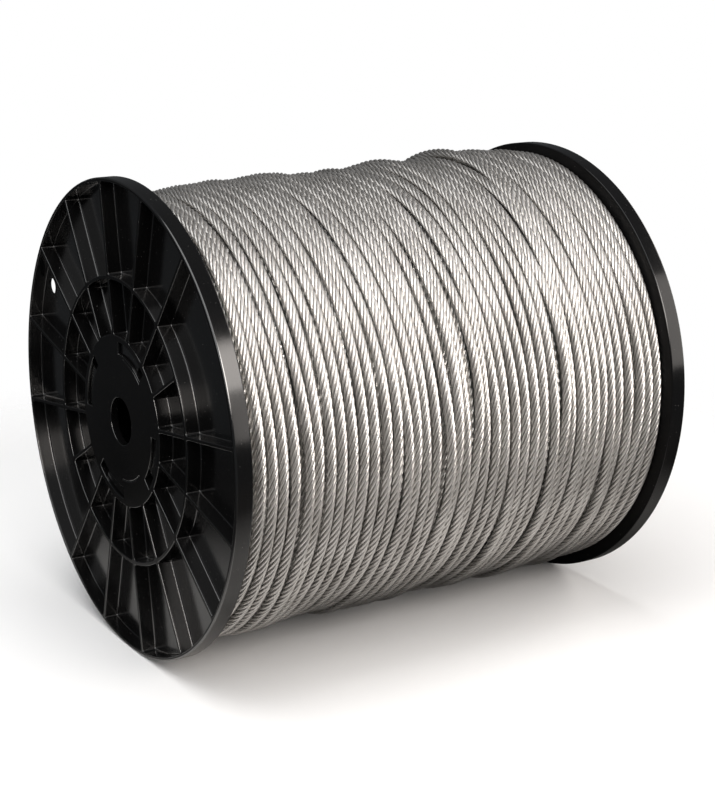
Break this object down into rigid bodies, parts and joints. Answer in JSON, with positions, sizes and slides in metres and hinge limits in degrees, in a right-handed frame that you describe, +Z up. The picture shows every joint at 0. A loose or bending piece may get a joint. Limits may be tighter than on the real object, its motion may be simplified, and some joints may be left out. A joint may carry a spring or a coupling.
{
  "type": "coil of wire rope",
  "caption": "Long length of stranded steel wire rope wound on a black moulded plastic reel with ribbed flanges, lying on its rims.",
  "frame": {"origin": "on the floor below the middle of the reel, where it lies on the rims of its two flanges", "axes": "+X along the reel's axis, from the flange that the picture shows open towards the far one; +Z up"},
  "size_m": [0.2724, 0.2496, 0.2497],
  "materials": {
    "reel_plastic": "black injection-moulded plastic, semi-gloss, with faint flow and turning marks",
    "rope_steel": "galvanised wire, bright and slightly grey, six strands laid to the right"
  },
  "bodies": {
    "root": {"left_flange": "reel_plastic", "right_flange": "reel_plastic", "barrel": "reel_plastic", "rope_winding": "rope_steel"}
  },
  "joints": []
}
